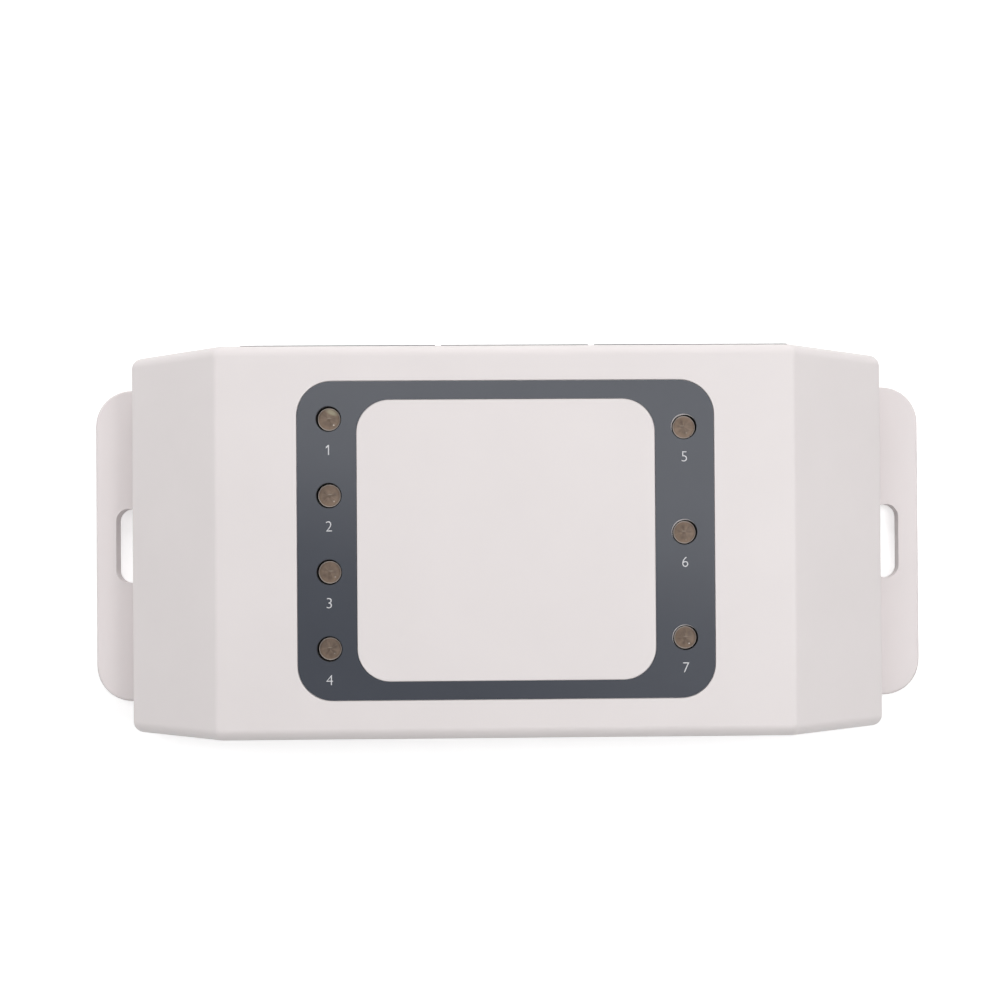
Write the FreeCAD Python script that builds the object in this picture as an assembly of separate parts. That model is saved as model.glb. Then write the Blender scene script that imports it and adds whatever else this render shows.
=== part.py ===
import FreeCAD, Part
import math
import os

os.makedirs("parts", exist_ok=True)

# Door control module, in millimetres. The origin is the middle of the back face:
# +X runs along the module, +Y to the terminal side, +Z from the wall to the front panel.

# Case: a flat front between two sloped ends
wall = 2.0
slope_run = 16.75
slope_rise = 15.0
panel_margin = 0.84
edge_round = 1.8
crease_round = 1.0
side_room = 1.5
works_width = 36.7
room_over_board = 3.6
room_under_plugs = 1.0
room_under_relay = 0.8

# Rear shell: a plate with an ear at each end
base_thickness = 3.0
floor_thickness = 2.2
ear_reach = 7.8
ear_width = 52.7
ear_corner = 6.1
ear_edge_round = 0.4
slot_width = 4.3
slot_length = 12.6
slot_from_wall = 0.1

# Lip that locates the front cover on the rear shell, and the sill under the plugs
lip_height = 1.6
skin = 1.0
lip_gap = 0.1
lip_root = 0.5
sill_gap = 0.4

# Indicator panel: a thin ring-shaped film in a shallow recess
ring_length = 65.6
ring_width = 50.2
ring_shift = 0.25
ring_band_x = 9.45
ring_band_y = 3.08
ring_corner = 5.6
ring_window_corner = 5.1
film_thickness = 0.3
film_below_face = 0.05
film_edge_gap = 0.1

# Indicator lenses, one clear light pipe each, in two columns
lens_radius = 1.78
lens_hole_radius = 1.95
film_hole_radius = 2.02
right_film_hole_shift = 0.06
lens_below_face = 0.75
lens_crown = 0.3
lens_collar_radius = 2.5
lens_collar_height = 1.1
lens_from_ring_end = 4.9
lens_shift = 0.15
left_lens_count = 4
left_lens_from_top = 6.0
left_lens_from_bottom = 8.19
right_lens_count = 3
right_lens_from_top = 7.52
right_lens_from_bottom = 9.52
led_length = 2.0
led_width = 1.25
led_height = 0.8
led_to_lens = 0.3

# Main board, screwed up against posts in the cover
board_thickness = 1.6
board_end_gap = 0.7
board_screw_from_end = 4.4
board_screw_from_edge = 4.1
board_screw_from_legs = 4.9
board_post_radius = 2.7
board_rest_radius = 1.5
board_rest_apart = 25.0
board_rest_from_legs = 6.1
board_rest_from_edge = 2.5

# M2.5 screws of the board, M3 screws of the case
board_screw_radius = 1.25
board_head_radius = 2.3
board_head_height = 1.6
board_screw_reach = 2.6
case_screw_radius = 1.5
case_head_radius = 2.8
case_head_height = 2.0
case_head_recess = 0.5
case_screw_from_end = 7.2
case_screw_from_side = 6.8
case_screw_reach = 6.8
case_boss_radius = 3.5
counterbore_gap = 0.3
counterbore_wall = 1.1
screw_hole_gap = 0.2
pilot_gap = 0.05
pilot_spare = 0.4
driver_slot = 0.8
driver_depth = 1.0
driver_arm = 2.8

# Terminals: blocks of poles side by side, each a plug in a header
pole_counts = [4, 3, 4]
pitch = 7.62
block_end = 0.8
block_gap = 0.3
row_shift = 1.35
plug_proud = 1.0
plug_roof = 1.3
plug_back_wall = 2.8
plug_below_board = 0.5
plug_edge_chamfer = 0.4
plug_gap = 0.3
opening_gap = 0.35
nose_length = 9.7
nose_wall = 1.0
nose_tip_gap = 0.4
header_wall = 1.0
header_floor = 0.9
header_back_wall = 2.0

# Clamp of one pole: a screw that draws a cage down onto the wire
clamp_travel = 3.0
clamp_screw_radius = 1.5
clamp_head_radius = 2.2
clamp_head_height = 1.1
clamp_groove_width = 0.6
clamp_groove_depth = 0.6
screw_tip_gap = 0.15
driver_hole_radius = 1.9
driver_wall = 1.0
pole_wall = 1.72
cage_depth = 5.6
cage_wall = 0.8
cage_nut = 1.3
cage_top = 0.8
cage_corner = 0.5
cage_gap = 0.15
cage_end_gap = 0.2
cavity_end_gap = 0.1
cage_from_face = 1.5
wire_space = 3.2
entry_inset = 0.1
entry_mouth = 0.5
entry_flare = 0.3
thread_gap = 0.05

# Contact strip in the plug and the bent pin of the header
strip_side_gap = 0.5
strip_thickness = 0.7
strip_gap = 0.1
strip_from_tip = 1.0
strip_from_cage_front = 0.4
leaf_thickness = 0.5
pin_size = 0.8
pin_gap = 0.15
pin_from_shoulder = 1.5
pin_above_board = 1.2
pin_hole_radius = 0.7
leg_to_header = 0.8

# Tamper switch: a sprung plunger that the wall presses
tamper_from_end = 12.0
tamper_from_edge = 12.5
tamper_travel = 2.0
tamper_body = 6.5
tamper_body_height = 5.0
plunger_radius = 1.8
plunger_stem_radius = 0.9
plunger_stem_gap = 0.2
plunger_stem_grip = 1.0
plunger_collar_radius = 2.8
plunger_collar_height = 1.0
plunger_tip_round = 0.6
guide_gap = 0.3
guide_wall = 1.5
guide_height = 3.4
stop_gap = 0.2
spring_mean_radius = 2.0
spring_wire_radius = 0.2
spring_end_gap = 0.05
spring_turns = 4

# Relay, hanging below the board; depths are measured down from the board
relay_x = 2.0
relay_from_edge = 13.5
relay_length = 19.0
relay_width = 15.4
relay_height = 14.4
relay_wall = 0.7
relay_base_height = 2.0
relay_cover_start = 0.3
relay_fit = 0.1
coil_offset = -0.8
coil_radius = 4.0
coil_lead_from_bobbin = 0.9
coil_below_core_end = 0.6
bobbin_radius = 4.6
bobbin_flange = 0.8
core_radius = 1.5
yoke_thickness = 1.2
yoke_width = 8.0
yoke_offset = 5.0
yoke_overlap = 1.0
core_end = 10.3
armature_gap = 0.7
armature_pivot_gap = 0.1
armature_thickness = 0.8
armature_width = 7.0
armature_past_core = 1.5
armature_angle = 4.2
leaf_width = 3.0
leaf_depth = 0.25
contact_radius = 0.9
contact_height = 0.5
contact_above_plate = 0.65
contact_offset = -6.5
contact_play = 0.1
contact_strip = 0.6
contact_strip_width = 1.6
contact_lead_apart = 6.0
lead_overlap = 0.5

# Small parts on the board: places in X, and from the board's edge away from the terminals
controller_size = 7.0
controller_height = 1.4
controller_x = -22.0
controller_from_edge = 12.5
controller_leads_per_side = 8
controller_lead_pitch = 0.8
transceiver_length = 4.0
transceiver_width = 5.0
transceiver_height = 1.5
transceiver_x = -34.0
transceiver_from_edge = 26.0
transceiver_leads_per_side = 4
transceiver_lead_pitch = 1.27
regulator_length = 6.5
regulator_width = 3.5
regulator_height = 1.6
regulator_x = -35.0
regulator_from_edge = 12.9
regulator_tab = 3.0
regulator_lead_width = 0.7
regulator_lead_pitch = 2.3
regulator_lead_reach = 1.7
capacitor_radius = 4.0
capacitor_height = 11.5
capacitor_x = -35.0
capacitor_from_edge = 4.5
capacitor_lead_pitch = 3.5
capacitor_groove_from_foot = 1.8
capacitor_groove_radius = 0.6
capacitor_groove_depth = 0.35
inductor_size = 7.3
inductor_height = 4.0
inductor_corner = 1.2
inductor_x = -24.0
inductor_from_edge = 24.0
chip_lead_thickness = 0.25
chip_lead_width = 0.35
chip_lead_reach = 0.8
chip_lead_overlap = 0.3
chip_off_board = 0.1

# How far a cutting tool runs past the face that it opens, and what counts as no distance
past = 1.0
tiny = 1e-6

# The clamp's stack sets the plug's height
cage_height = cage_nut + cage_end_gap + strip_thickness + wire_space + cage_top
clamp_height = driver_wall + clamp_head_height + cage_end_gap + clamp_travel + cage_height
plug_height = clamp_height + cavity_end_gap + plug_roof
plug_depth = cage_from_face + cage_depth + plug_back_wall
cage_width = pitch - pole_wall - 2 * cage_gap
strip_width = cage_width - 2 * cage_wall - 2 * strip_side_gap
entry_width = cage_width - 2 * cage_wall - 2 * entry_inset

# The plugs and the relay set the board's height, and the board sets the case's
under_plugs = base_thickness + room_under_plugs + plug_height + plug_below_board
board_bottom = max(under_plugs, floor_thickness + room_under_relay + relay_height)
board_top = board_bottom + board_thickness
led_top = board_top + led_height
panel_inside = board_top + room_over_board
case_height = panel_inside + wall
end_wall_top = case_height - slope_rise
lens_top = case_height - lens_below_face

# The row of terminals sets the case's length
block_lengths = [poles * pitch + 2 * block_end for poles in pole_counts]
row_length = sum(block_lengths) + block_gap * (len(block_lengths) - 1)
row_start = row_shift - row_length / 2
half_length = row_length / 2 + panel_margin + slope_run
case_length = 2 * half_length
ear_span = case_length + 2 * ear_reach

# The works, the headers and the plugs, one behind the other, set the case's width
header_depth = nose_length - plug_gap + nose_tip_gap + header_back_wall
terminal_width = leg_to_header + header_depth + plug_gap + plug_depth - plug_proud
case_width = wall + side_room + works_width + terminal_width
half_width = case_width / 2
board_edge_y = wall + side_room - half_width
pin_leg_y = board_edge_y + works_width
header_back_y = pin_leg_y + leg_to_header
header_front_y = header_back_y + header_depth
shoulder_y = header_front_y + plug_gap
nose_tip_y = shoulder_y - nose_length
face_y = shoulder_y + plug_depth
cage_front_y = face_y - cage_from_face
cage_back_y = cage_front_y - cage_depth
clamp_y = (cage_front_y + cage_back_y) / 2
pin_tip_y = shoulder_y - pin_from_shoulder

# Levels in the plug, from its lower face up
plug_top = board_bottom - plug_below_board
plug_bottom = plug_top - plug_height
head_bottom = plug_bottom + driver_wall
head_top = head_bottom + clamp_head_height
cage_bottom = head_top + cage_end_gap + clamp_travel
strip_bottom = cage_bottom + cage_nut + cage_end_gap
strip_top = strip_bottom + strip_thickness
pin_bottom = strip_top + pin_gap
pin_top = pin_bottom + pin_size
leaf_bottom = pin_top + pin_gap
leaf_top = leaf_bottom + leaf_thickness
nose_bottom = strip_bottom - strip_gap - nose_wall
nose_top = leaf_top + strip_gap + nose_wall
header_bottom = nose_bottom - plug_gap - header_floor

# Levels of the lip, the screws and the film
lip_top = base_thickness + lip_height
cover_rebate_top = lip_top + lip_gap
under_case_head = case_head_recess + case_head_height
film_bottom = case_height - film_below_face - film_thickness
film_top = case_height - film_below_face

# Places of what repeats
lens_x = ring_length / 2 - lens_from_ring_end
ring_window_length = ring_length - 2 * ring_band_x
ring_window_width = ring_width - 2 * ring_band_y
case_screw_x = half_length - case_screw_from_end
case_screw_y = half_width - case_screw_from_side
case_screw_places = [(i * case_screw_x, j * case_screw_y) for i in (-1, 1) for j in (-1, 1)]


def vec(x, y, z):
    return FreeCAD.Vector(x, y, z)


def save(shapes, name):
    """Write one shape, or several separate ones, as a node."""
    whole = Part.makeCompound(shapes) if isinstance(shapes, list) else shapes
    whole.exportStep("parts/" + name + ".step")


def box(x_span, y_span, z_span):
    """Block between two values along each axis."""
    (x0, x1), (y0, y1), (z0, z1) = x_span, y_span, z_span
    return Part.makeBox(x1 - x0, y1 - y0, z1 - z0, vec(x0, y0, z0))


def around(middle, size):
    """The two ends of a size about its middle."""
    return (middle - size / 2, middle + size / 2)


def post(place, radius, z_span):
    """Upright cylinder at a place in X and Y."""
    return Part.makeCylinder(radius, z_span[1] - z_span[0], vec(place[0], place[1], z_span[0]))


def join(shapes):
    return shapes[0].multiFuse(shapes[1:]).removeSplitter()


def cut(shape, tools):
    for tool in tools:
        shape = shape.cut(tool)
    return shape


def edges_along(shape, axis):
    """Straight edges that run along X, Y or Z."""
    direction = {"x": vec(1, 0, 0), "y": vec(0, 1, 0), "z": vec(0, 0, 1)}[axis]
    return [e for e in shape.Edges if abs(e.tangentAt(e.FirstParameter).dot(direction)) > 0.99]


def plate(length, width, corner, z_span, middle_y=0):
    """Flat rectangle across the middle of the case with round corners."""
    flat = box(around(0, length), around(middle_y, width), z_span)
    return flat.makeFillet(corner, edges_along(flat, "z"))


def slot(place, length, width, z_span):
    """Upright slot that runs along Y."""
    x, y = place
    reach = (length - width) / 2
    middle = box(around(x, width), around(y, 2 * reach), z_span)
    ends = [post((x, y + side * reach), width / 2, z_span) for side in (-1, 1)]
    return join([middle] + ends)


def slope_line(inset):
    """Normal in X and Z of the sloped end, and its distance from the origin when drawn in."""
    slant = math.hypot(slope_run, slope_rise)
    normal_x = slope_rise / slant
    normal_z = slope_run / slant
    return normal_x, normal_z, normal_x * half_length + normal_z * end_wall_top - inset


def slope_x(inset, z):
    """X of the sloped end, drawn in, at a height."""
    normal_x, normal_z, reach = slope_line(inset)
    return (reach - normal_z * z) / normal_x


def end_profile(inset):
    """Corners of the case seen from the side, from the right foot over the top to the left."""
    normal_x, normal_z, reach = slope_line(inset)
    end_x = half_length - inset
    end_z = (reach - normal_x * end_x) / normal_z
    top_z = case_height - inset
    right = [(end_x, base_thickness), (end_x, end_z), (slope_x(inset, top_z), top_z)]
    left = [(-x, z) for x, z in reversed(right)]
    return right + left


def hull(inset):
    """Solid under the sloped outline, drawn in all round by the inset."""
    y = half_width - inset
    corners = [vec(x, -y, z) for x, z in end_profile(inset)]
    outline = Part.makePolygon(corners + corners[:1])
    return Part.Face(outline).extrude(vec(0, 2 * y, 0))


def side_edges(shape):
    """Edges that outline the two long sides, without the bottom ones."""
    found = []
    for edge in shape.Edges:
        points = [v.Point for v in edge.Vertexes]
        on_side = all(abs(abs(p.y) - half_width) < tiny for p in points)
        same_side = abs(points[0].y - points[-1].y) < tiny
        bottom = all(p.z < base_thickness + tiny for p in points)
        if on_side and same_side and not bottom:
            found.append(edge)
    return found


def lens_column(side, count, from_top, from_bottom):
    """Places of one column of lenses, spread between two distances from the film's edges."""
    first = ring_shift + ring_width / 2 - from_top
    step = (ring_width - from_top - from_bottom) / (count - 1)
    return [(lens_shift + side * lens_x, first - i * step) for i in range(count)]


def terminal_blocks():
    """Start, end and pole places in X of each block."""
    found = []
    start = row_start
    for poles, length in zip(pole_counts, block_lengths):
        first = start + block_end + pitch / 2
        found.append((start, start + length, [first + i * pitch for i in range(poles)]))
        start += length + block_gap
    return found


lens_places = lens_column(-1, left_lens_count, left_lens_from_top, left_lens_from_bottom)
lens_places += lens_column(1, right_lens_count, right_lens_from_top, right_lens_from_bottom)
blocks = terminal_blocks()
pole_places = [x for block in blocks for x in block[2]]
mouth_x = (blocks[0][0] - opening_gap, blocks[-1][1] + opening_gap)
board_length = 2 * (slope_x(wall, board_top) - board_end_gap)
board_width = 2 * -board_edge_y
board_screw_x = board_length / 2 - board_screw_from_end
board_screw_y = [pin_leg_y - board_screw_from_legs, board_edge_y + board_screw_from_edge]
board_screw_places = [(i * board_screw_x, y) for i in (-1, 1) for y in board_screw_y]
board_rest_places = [(i * board_rest_apart / 2, pin_leg_y + board_rest_from_legs) for i in (-1, 1)]
board_rest_places.append((controller_x / 2, board_edge_y + board_rest_from_edge))


def front_cover():
    """White cover with sloped ends, a recess for the film and a mouth for the terminals."""
    body = hull(0)
    creases = [e for e in edges_along(body, "y") if e.CenterOfMass.z > base_thickness + tiny]
    body = body.makeFillet(crease_round, creases)
    body = body.makeFillet(edge_round, side_edges(body))
    kept = [post(p, case_boss_radius, (cover_rebate_top, case_height)) for p in case_screw_places]
    kept += [post(p, board_post_radius, (board_top, case_height)) for p in board_screw_places]
    kept += [post(p, board_rest_radius, (board_top, case_height)) for p in board_rest_places]
    body = body.cut(cut(hull(wall), kept))

    rebate_x = around(0, case_length - 2 * skin)
    rebate_y = around(0, case_width - 2 * skin)
    mouth_y = (half_width - wall - past, half_width + past)
    holes = [
        box(rebate_x, rebate_y, (base_thickness, cover_rebate_top)),
        box(mouth_x, mouth_y, (base_thickness - past, plug_top + opening_gap)),
    ]
    pilot_z = (cover_rebate_top, cover_rebate_top + case_screw_reach + pilot_spare)
    holes += [post(p, case_screw_radius + pilot_gap, pilot_z) for p in case_screw_places]
    pilot_z = (board_top, board_top + board_screw_reach + pilot_spare)
    holes += [post(p, board_screw_radius + pilot_gap, pilot_z) for p in board_screw_places]
    recess_z = (film_bottom, case_height + past)
    ring = plate(ring_length, ring_width, ring_corner, recess_z, ring_shift)
    island = plate(ring_window_length, ring_window_width, ring_window_corner, recess_z, ring_shift)
    holes.append(ring.cut(island))
    holes += [post(p, lens_hole_radius, (panel_inside - past, case_height + past)) for p in lens_places]
    return cut(body, holes)


def indicator_overlay():
    """Grey film around the panel, with a hole for each lens; those on the right sit a little askew."""
    span = (film_bottom, film_top)
    gap = film_edge_gap
    length, width = ring_length - 2 * gap, ring_width - 2 * gap
    ring = plate(length, width, ring_corner - gap, span, ring_shift)
    length, width = ring_window_length + 2 * gap, ring_window_width + 2 * gap
    window = plate(length, width, ring_window_corner + gap, span, ring_shift)
    shift = right_film_hole_shift
    places = [(x - shift, y + shift) if x > 0 else (x, y) for x, y in lens_places]
    return cut(ring, [window] + [post(p, film_hole_radius, span) for p in places])


def rear_plate():
    """Plate under the whole case with an ear at each end, its upper rims rounded."""
    body = plate(case_length, case_width, edge_round, (0, base_thickness))
    ears = plate(ear_span, ear_width, ear_corner, (0, base_thickness))
    body = join([body, ears])
    rims = []
    for edge in body.Edges:
        on_top = all(abs(v.Z - base_thickness) < tiny for v in edge.Vertexes)
        if on_top and abs(edge.CenterOfMass.x) > half_length + tiny:
            rims.append(edge)
    return body.makeFillet(ear_edge_round, rims)


def rear_shell():
    """Rear plate with a lip for the cover, a sill, screw bosses, a guide and slotted ears."""
    inside_y = half_width - wall
    root = base_thickness - lip_root
    lip_x = around(0, case_length - 2 * (skin + lip_gap))
    lip_y = around(0, case_width - 2 * (skin + lip_gap))
    gap_x = (mouth_x[0] - lip_gap, mouth_x[1] + lip_gap)
    lip = box(lip_x, lip_y, (root, lip_top))
    lip = lip.cut(box(gap_x, (inside_y - past, half_width), (base_thickness, lip_top + past)))
    sill_x = (mouth_x[0] + lip_gap, mouth_x[1] - lip_gap)
    sill = box(sill_x, (inside_y, half_width), (root, plug_bottom - sill_gap))
    body = join([rear_plate(), lip, sill])
    hollow_x = around(0, case_length - 2 * wall)
    body = body.cut(box(hollow_x, (-inside_y, inside_y), (floor_thickness, lip_top + past)))

    tamper = tamper_place()
    bore = plunger_radius + guide_gap
    guide_top = floor_thickness + guide_height
    sleeve = case_head_radius + counterbore_gap + counterbore_wall
    bosses = [post(p, sleeve, (0, lip_top)) for p in case_screw_places]
    body = join([body, post(tamper, bore + guide_wall, (0, guide_top))] + bosses)

    holes = [post(tamper, bore, (-past, guide_top + past))]
    head_hole = case_head_radius + counterbore_gap
    shank_hole = case_screw_radius + screw_hole_gap
    holes += [post(p, head_hole, (-past, under_case_head)) for p in case_screw_places]
    holes += [post(p, shank_hole, (-past, lip_top + past)) for p in case_screw_places]
    slot_x = half_length + slot_from_wall + slot_width / 2
    slot_z = (-past, base_thickness + past)
    holes += [slot((side * slot_x, 0), slot_length, slot_width, slot_z) for side in (-1, 1)]
    return cut(body, holes)


def light_pipe(place):
    """Clear lens: a rod over one LED, with a domed end and a collar under the panel."""
    shoulder = lens_top - lens_crown
    collar_bottom = panel_inside - lens_collar_height
    sphere = (lens_radius**2 + lens_crown**2) / (2 * lens_crown)
    half_angle = math.asin(lens_radius / sphere) / 2
    bend = vec(sphere * math.sin(half_angle), 0, lens_top - sphere * (1 - math.cos(half_angle)))
    bottom = led_top + led_to_lens
    corners = [
        vec(0, 0, bottom),
        vec(lens_radius, 0, bottom),
        vec(lens_radius, 0, collar_bottom),
        vec(lens_collar_radius, 0, collar_bottom),
        vec(lens_collar_radius, 0, panel_inside),
        vec(lens_radius, 0, panel_inside),
        vec(lens_radius, 0, shoulder),
    ]
    lines = [Part.LineSegment(a, b).toShape() for a, b in zip(corners, corners[1:])]
    dome = Part.Arc(corners[-1], bend, vec(0, 0, lens_top)).toShape()
    axis = Part.LineSegment(vec(0, 0, lens_top), corners[0]).toShape()
    profile = Part.Face(Part.Wire(lines + [dome, axis]))
    pipe = profile.revolve(vec(0, 0, 0), vec(0, 0, 1), 360)
    pipe.translate(vec(place[0], place[1], 0))
    return pipe


def main_board():
    """Circuit board with holes for the screws and for every lead that passes through."""
    body = box(around(0, board_length), around(0, board_width), (board_bottom, board_top))
    through = (board_bottom - past, board_top + past)
    holes = [post(p, board_screw_radius + screw_hole_gap, through) for p in board_screw_places]
    holes += [post((x, pin_leg_y), pin_hole_radius, through) for x in pole_places]
    holes += [post(p, pin_hole_radius, through) for p in relay_leads() + capacitor_leads()]
    return cut(body, holes)


def indicator_leds():
    span = (board_top, led_top)
    return [box(around(x, led_length), around(y, led_width), span) for x, y in lens_places]


def screw(place, radius, head_radius, head_span, shank_top):
    """Screw that points up, with a crossed driver recess in its head below."""
    x, y = place
    depth = (head_span[0], head_span[0] + driver_depth)
    recess = [
        box(around(x, driver_arm), around(y, driver_slot), depth),
        box(around(x, driver_slot), around(y, driver_arm), depth),
    ]
    head = cut(post(place, head_radius, head_span), recess)
    return join([head, post(place, radius, (head_span[1], shank_top))])


def case_screws():
    head = (case_head_recess, under_case_head)
    top = cover_rebate_top + case_screw_reach
    return [screw(p, case_screw_radius, case_head_radius, head, top) for p in case_screw_places]


def board_screws():
    head = (board_bottom - board_head_height, board_bottom)
    top = board_top + board_screw_reach
    return [screw(p, board_screw_radius, board_head_radius, head, top) for p in board_screw_places]


def header_pins():
    """Bent square pins: along Y in the header, then up through the board."""
    pins = []
    leg_top = board_top + pin_above_board
    for x in pole_places:
        across = around(x, pin_size)
        leg_y = around(pin_leg_y, pin_size)
        level = box(across, (leg_y[0], pin_tip_y), (pin_bottom, pin_top))
        leg = box(across, leg_y, (pin_bottom, leg_top))
        pins.append(join([level, leg]))
    return pins


def terminal_header(block, pins):
    """Shroud under the board that the plug's nose slides into."""
    start, end, _ = block
    body = box((start, end), (header_back_y, header_front_y), (header_bottom, board_bottom))
    room = box(
        (start + header_wall, end - header_wall),
        (nose_tip_y - nose_tip_gap, header_front_y + past),
        (nose_bottom - plug_gap, nose_top + plug_gap),
    )
    return cut(body, [room] + pins)


def clamp_cavities(x):
    """Room in the plug for one pole's screw, cage, strip, wire and pin."""
    cage_x = around(x, cage_width + 2 * cage_gap)
    cage_y = (cage_back_y - cage_gap, cage_front_y + cage_gap)
    cage_z = (head_top + cavity_end_gap, cage_bottom + cage_height + cavity_end_gap)
    strip_x = around(x, strip_width + 2 * strip_gap)
    strip_z = (strip_bottom - strip_gap, strip_top + strip_gap)
    fork_z = (strip_z[0], leaf_top + strip_gap)
    mouth_width = entry_width + 2 * entry_mouth
    entry_z = (strip_top, strip_top + wire_space)
    flare_z = (entry_z[0] - entry_flare, entry_z[1] + entry_flare)
    middle = (x, clamp_y)
    head_room = clamp_head_radius + plug_gap
    return [
        box(cage_x, cage_y, cage_z),
        post(middle, head_room, (head_bottom - cavity_end_gap, cage_z[1])),
        post(middle, driver_hole_radius, (plug_bottom - past, head_bottom)),
        box(strip_x, (shoulder_y - past, cage_back_y), strip_z),
        box(strip_x, (nose_tip_y - past, shoulder_y), fork_z),
        box(around(x, entry_width), (cage_front_y, face_y + past), entry_z),
        box(around(x, mouth_width), (face_y - entry_mouth, face_y + past), flare_z),
    ]


def terminal_plug(block):
    """Plug housing with a nose for the header and a wire entry for each pole."""
    start, end, poles = block
    front = box((start, end), (shoulder_y, face_y), (plug_bottom, plug_top))
    rim = [e for e in front.Edges if all(abs(v.Y - face_y) < tiny for v in e.Vertexes)]
    front = front.makeChamfer(plug_edge_chamfer, rim)
    inset = header_wall + plug_gap
    nose = box((start + inset, end - inset), (nose_tip_y, shoulder_y), (nose_bottom, nose_top))
    body = join([front, nose])
    for x in poles:
        body = cut(body, clamp_cavities(x))
    return body


def plug_contact(x):
    """Strip under the wire that forks round the header's pin."""
    across = around(x, strip_width)
    back_y = nose_tip_y + strip_from_tip
    web_y = (pin_tip_y + plug_gap, pin_tip_y + plug_gap + leaf_thickness)
    strip = box(across, (back_y, cage_front_y - strip_from_cage_front), (strip_bottom, strip_top))
    web = box(across, web_y, (strip_bottom, leaf_top))
    leaf = box(across, (back_y, web_y[1]), (leaf_bottom, leaf_top))
    return join([strip, web, leaf])


def clamp_screw(x):
    """Slotted screw whose head stays in the plug and whose tip stands under the strip."""
    middle = (x, clamp_y)
    head = post(middle, clamp_head_radius, (head_bottom, head_top))
    groove = box(
        around(x, 2 * clamp_head_radius + past),
        around(clamp_y, clamp_groove_width),
        (head_bottom - past, head_bottom + clamp_groove_depth),
    )
    shank = post(middle, clamp_screw_radius, (head_top, strip_bottom - screw_tip_gap))
    return join([head.cut(groove), shank])


def clamp_cage(x):
    """Box clamp, open along Y for the wire, with the thread in its lower wall."""
    low, high = cage_bottom, cage_bottom + cage_height
    body = box(around(x, cage_width), (cage_back_y, cage_front_y), (low, high))
    body = body.makeFillet(cage_corner, edges_along(body, "y"))
    window_x = around(x, cage_width - 2 * cage_wall)
    window = box(window_x, (cage_back_y - past, cage_front_y + past), (low + cage_nut, high - cage_top))
    thread = post((x, clamp_y), clamp_screw_radius + thread_gap, (low - past, low + cage_nut + past))
    return cut(body, [window, thread])


def tamper_place():
    return board_length / 2 - tamper_from_end, board_edge_y + tamper_from_edge


def tamper_levels():
    """Heights of the collar's two faces and of the switch body's lower face."""
    collar_bottom = floor_thickness + guide_height + tamper_travel + stop_gap
    return collar_bottom, collar_bottom + plunger_collar_height, board_bottom - tamper_body_height


def tamper_switch_body():
    x, y = tamper_place()
    low = tamper_levels()[2]
    top_of_stem = low + tamper_travel + plunger_stem_grip
    body = box(around(x, tamper_body), around(y, tamper_body), (low, board_bottom))
    bore = plunger_stem_radius + plunger_stem_gap
    return body.cut(post((x, y), bore, (low - past, top_of_stem + plunger_stem_gap)))


def tamper_plunger():
    """Plunger: a round tip flush with the back, a collar and a stem into the switch."""
    collar_bottom, collar_top, switch_low = tamper_levels()
    place = tamper_place()
    tip = post(place, plunger_radius, (0, collar_bottom))
    rim = [e for e in tip.Edges if all(abs(v.Z) < tiny for v in e.Vertexes)]
    tip = tip.makeFillet(plunger_tip_round, rim)
    collar = post(place, plunger_collar_radius, (collar_bottom, collar_top))
    stem_top = switch_low + tamper_travel + plunger_stem_grip
    return join([tip, collar, post(place, plunger_stem_radius, (collar_top, stem_top))])


def arc_from(start, heading, end):
    """Arc that leaves the start along the heading and ends at the end."""
    chord = end - start
    along = chord * (1 / chord.Length)
    bulge = heading - along * heading.dot(along)
    bulge.normalize()
    turn = math.acos(heading.dot(along))
    middle = start + chord * 0.5 + bulge * (chord.Length / 2 * math.tan(turn / 2))
    return Part.Arc(start, middle, end).toShape()


def biarc(start, heading, end, end_heading):
    """Two arcs that join smoothly between two points with given headings."""
    chord = end - start
    spread = 2 * (1 - heading.dot(end_heading))
    along = chord.dot(heading + end_heading)
    reach = (math.sqrt(along**2 + spread * chord.dot(chord)) - along) / spread
    middle = (start + end + (heading - end_heading) * reach) * 0.5
    return [arc_from(start, heading, middle), arc_from(end, end_heading * -1, middle)]


def tamper_spring():
    """Helical spring between the plunger's collar and the switch body."""
    x, y = tamper_place()
    _, low, high = tamper_levels()
    margin = spring_wire_radius + spring_end_gap
    rise = high - low - 2 * margin
    quarters = 4 * spring_turns
    points, headings = [], []
    for k in range(quarters + 1):
        across = spring_mean_radius * math.cos(k * math.pi / 2)
        along = spring_mean_radius * math.sin(k * math.pi / 2)
        points.append(vec(x + across, y + along, low + margin + rise * k / quarters))
        heading = vec(-along, across, rise / (2 * math.pi * spring_turns))
        headings.append(heading.normalize())
    path = []
    for k in range(quarters):
        path += biarc(points[k], headings[k], points[k + 1], headings[k + 1])
    section = Part.Wire([Part.makeCircle(spring_wire_radius, points[0], headings[0])])
    return Part.Wire(path).makePipeShell([section], True, False)


def below(depth):
    """Height at a depth under the board."""
    return board_bottom - depth


def spread_of(first, second):
    return (min(first, second), max(first, second))


def relay_y():
    return board_edge_y + relay_from_edge


def coil_place():
    return relay_x + coil_offset, relay_y()


def relay_leads():
    """Places of the relay's leads: the yoke's, the coil's two and the fixed contacts' two."""
    x, y = coil_place()
    coil_reach = bobbin_radius + coil_lead_from_bobbin
    strip_x = relay_x + contact_offset - contact_radius - contact_strip
    leads = [(relay_x + yoke_offset + yoke_thickness / 2, y)]
    leads += [(x, y + side * coil_reach) for side in (-1, 1)]
    leads += [(strip_x, y + side * contact_lead_apart / 2) for side in (-1, 1)]
    return leads


def lead(place, low_depth):
    """Square lead from a depth under the board up through it."""
    span = (below(low_depth), board_top + pin_above_board)
    return box(around(place[0], pin_size), around(place[1], pin_size), span)


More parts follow.
